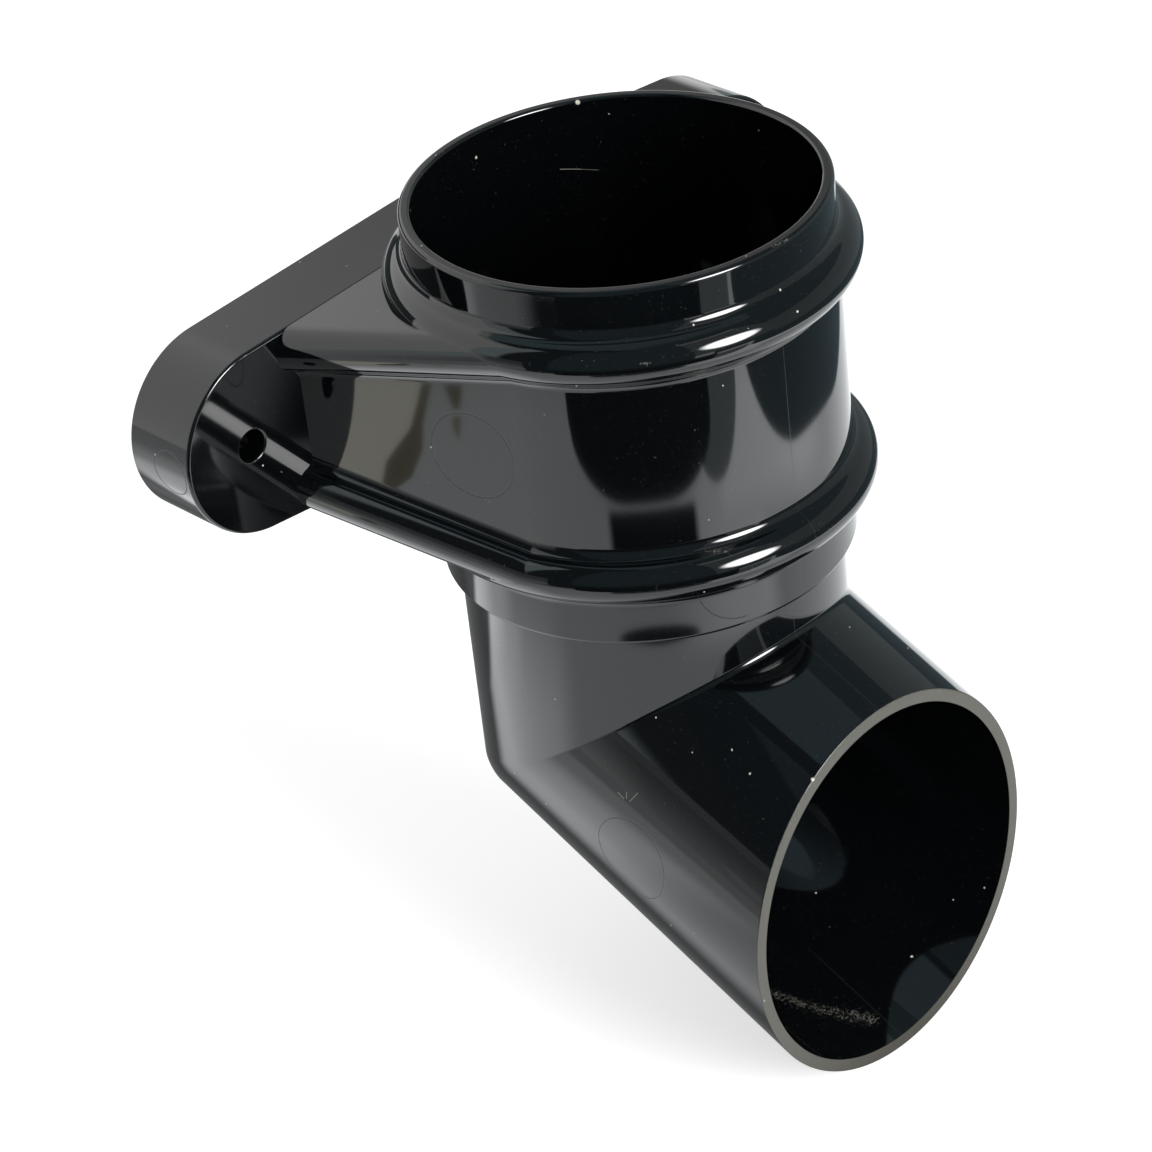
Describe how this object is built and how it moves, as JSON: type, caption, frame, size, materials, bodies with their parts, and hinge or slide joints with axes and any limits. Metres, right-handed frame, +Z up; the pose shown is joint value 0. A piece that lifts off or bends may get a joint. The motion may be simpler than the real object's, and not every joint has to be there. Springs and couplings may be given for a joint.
{
  "type": "downpipe shoe",
  "caption": "Moulded rainwater downpipe shoe: round socket with beads, back plate with screw lugs, and a mitred outlet that throws water forwards.",
  "frame": {"origin": "on the socket axis at the seat where the downpipe's end stops", "axes": "+Z up along the socket axis, +Y towards the wall, the outlet faces -Y, +X along the wall"},
  "size_m": [0.1458, 0.1003, 0.1581],
  "materials": {
    "black_plastic": "glossy as-moulded black"
  },
  "bodies": {
    "root": {"downpipe_shoe": "black_plastic"}
  },
  "joints": []
}
